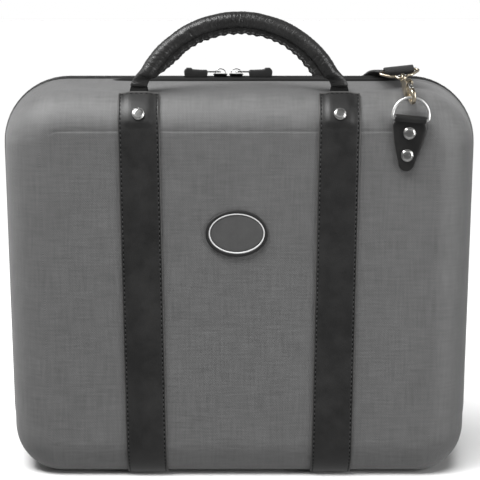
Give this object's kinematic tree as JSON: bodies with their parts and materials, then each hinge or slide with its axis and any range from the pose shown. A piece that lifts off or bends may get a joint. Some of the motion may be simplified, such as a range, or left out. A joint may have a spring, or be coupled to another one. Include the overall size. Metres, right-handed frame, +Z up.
{
  "type": "insulated bottle bag",
  "caption": "Upright insulated bottle carrier: moulded half shells on a fabric hinge, zip round the rim, leather face straps, arched handles and a clip-on shoulder strap.",
  "frame": {"origin": "middle of the bottom, on the plane where the two halves part, at the level the bag stands on", "axes": "+X to the right seen from the front, +Y from the front face to the rear face, +Z up"},
  "size_m": [0.412, 0.2143, 0.391],
  "materials": {
    "shell": "grey woven textile over moulded foam, fine cross weave, matte",
    "foam": "closed-cell insulating foam",
    "foil": "silvered plastic film lining, slightly crinkled",
    "divider": "cloth-covered foam wall",
    "elastic": "ribbed woven elastic",
    "tape": "woven zip and hinge tape",
    "coil": "nylon zip coil",
    "leather": "smooth charcoal leather with stitched edges",
    "nickel": "polished nickel plate",
    "champagne": "cast snap hook with a satin champagne plate",
    "rubber": "soft moulded rubber badge with a pale raised rim, plain field",
    "pull": "moulded zip puller",
    "cord": "twisted cotton cord core",
    "webbing": "dark woven webbing"
  },
  "bodies": {
    "root": {"rear_shell": "shell", "rear_insulation": "foam", "rear_liner": "foil", "rear_divider_1": "divider", "rear_divider_2": "divider", "rear_divider_3": "divider", "rear_bottle_band": "elastic", "rear_zip_tape": "tape", "rear_zip_coil": "coil", "rear_hinge_leaf": "tape", "rear_face_strap_left": "leather", "rear_face_strap_right": "leather", "rear_handle_tab_left": "leather", "rear_handle_tab_right": "leather", "rear_handle_rivet_left": "nickel", "rear_handle_rivet_right": "nickel", "rear_tab_rivet_upper": "nickel", "rear_tab_rivet_lower": "nickel", "rear_ring_tab": "leather", "shoulder_strap": "webbing"},
    "front": {"front_shell": "shell", "front_insulation": "foam", "front_liner": "foil", "front_divider_1": "divider", "front_divider_2": "divider", "front_divider_3": "divider", "front_bottle_band": "elastic", "front_zip_tape": "tape", "front_zip_coil": "coil", "front_hinge_leaf": "tape", "front_face_strap_left": "leather", "front_face_strap_right": "leather", "front_handle_tab_left": "leather", "front_handle_tab_right": "leather", "front_handle_rivet_left": "nickel", "front_handle_rivet_right": "nickel", "front_tab_rivet_upper": "nickel", "front_tab_rivet_lower": "nickel", "front_ring_tab": "leather", "badge": "rubber"},
    "front_handle": {"front_handle_grip": "leather", "front_handle_core": "cord"},
    "rear_handle": {"rear_handle_grip": "leather", "rear_handle_core": "cord"},
    "front_ring": {"front_d_ring": "nickel"},
    "rear_ring": {"rear_d_ring": "nickel"},
    "front_clip": {"front_snap_hook": "champagne", "front_strap_loop": "champagne", "front_strap_end": "webbing"},
    "front_gate": {"front_hook_gate": "nickel"},
    "rear_clip": {"rear_snap_hook": "champagne", "rear_strap_loop": "champagne"},
    "rear_gate": {"rear_hook_gate": "nickel"},
    "slider_left": {"zip_slider_left": "nickel"},
    "slider_right": {"zip_slider_right": "nickel"},
    "puller_left": {"pull_link_left": "nickel", "pull_tab_left": "pull"},
    "puller_right": {"pull_link_right": "nickel", "pull_tab_right": "pull"},
    "slide": {"strap_slide": "champagne"}
  },
  "joints": [
    {"name": "front_open", "type": "hinge", "parent": "root", "child": "front", "pos_m": [0, 0, 0], "axis": [1, 0, 0], "range_deg": [0, 178]},
    {"name": "front_handle_swing", "type": "hinge", "parent": "front", "child": "front_handle", "pos_m": [0, -0.06864, 0.33098], "axis": [1, 0, 0], "range_deg": [-60, 95]},
    {"name": "rear_handle_swing", "type": "hinge", "parent": "root", "child": "rear_handle", "pos_m": [0, 0.06864, 0.33098], "axis": [-1, 0, 0], "range_deg": [-60, 95]},
    {"name": "front_ring_tilt", "type": "hinge", "parent": "front", "child": "front_ring", "pos_m": [0.1406, -0.0915, 0.3038], "axis": [0.9962, 0, -0.0872], "range_deg": [-12, 0]},
    {"name": "rear_ring_tilt", "type": "hinge", "parent": "root", "child": "rear_ring", "pos_m": [-0.1406, 0.0915, 0.3038], "axis": [0.9962, 0, 0.0872], "range_deg": [-12, 0]},
    {"name": "front_clip_swing", "type": "hinge", "parent": "front", "child": "front_clip", "pos_m": [0.14215, -0.09088, 0.32152], "axis": [0.9803, 0.172, 0.0967], "range_deg": [0, 90]},
    {"name": "front_gate_press", "type": "hinge", "parent": "front_clip", "child": "front_gate", "pos_m": [0.13958, -0.08261, 0.33282], "axis": [0.9803, 0.172, 0.0967], "range_deg": [0, 18], "stiffness_Nm_per_rad": 0.02, "springref_deg": -11.46},
    {"name": "rear_clip_swing", "type": "hinge", "parent": "root", "child": "rear_clip", "pos_m": [-0.13941, 0.10294, 0.24752], "axis": [-1, 0, 0], "range_deg": [-2.5, 1.5]},
    {"name": "rear_gate_press", "type": "hinge", "parent": "rear_clip", "child": "rear_gate", "pos_m": [-0.13941, 0.10874, 0.27722], "axis": [1, 0, 0], "range_deg": [0, 18], "stiffness_Nm_per_rad": 0.02, "springref_deg": -11.46},
    {"name": "slider_left_run", "type": "slide", "parent": "root", "child": "slider_left", "axis": [-1, 0, 0], "range_m": [0, 0.095]},
    {"name": "slider_right_run", "type": "slide", "parent": "root", "child": "slider_right", "axis": [1, 0, 0], "range_m": [0, 0.07]},
    {"name": "puller_left_lift", "type": "hinge", "parent": "slider_left", "child": "puller_left", "pos_m": [-0.0164, 0, 0.3391], "axis": [0, 1, 0], "range_deg": [0, 110]},
    {"name": "puller_right_lift", "type": "hinge", "parent": "slider_right", "child": "puller_right", "pos_m": [-0.0026, 0, 0.3391], "axis": [0, -1, 0], "range_deg": [0, 110]},
    {"name": "strap_slide_run", "type": "slide", "parent": "root", "child": "slide", "axis": [0, 0, 1], "range_m": [-0.028, 0.028]}
  ]
}
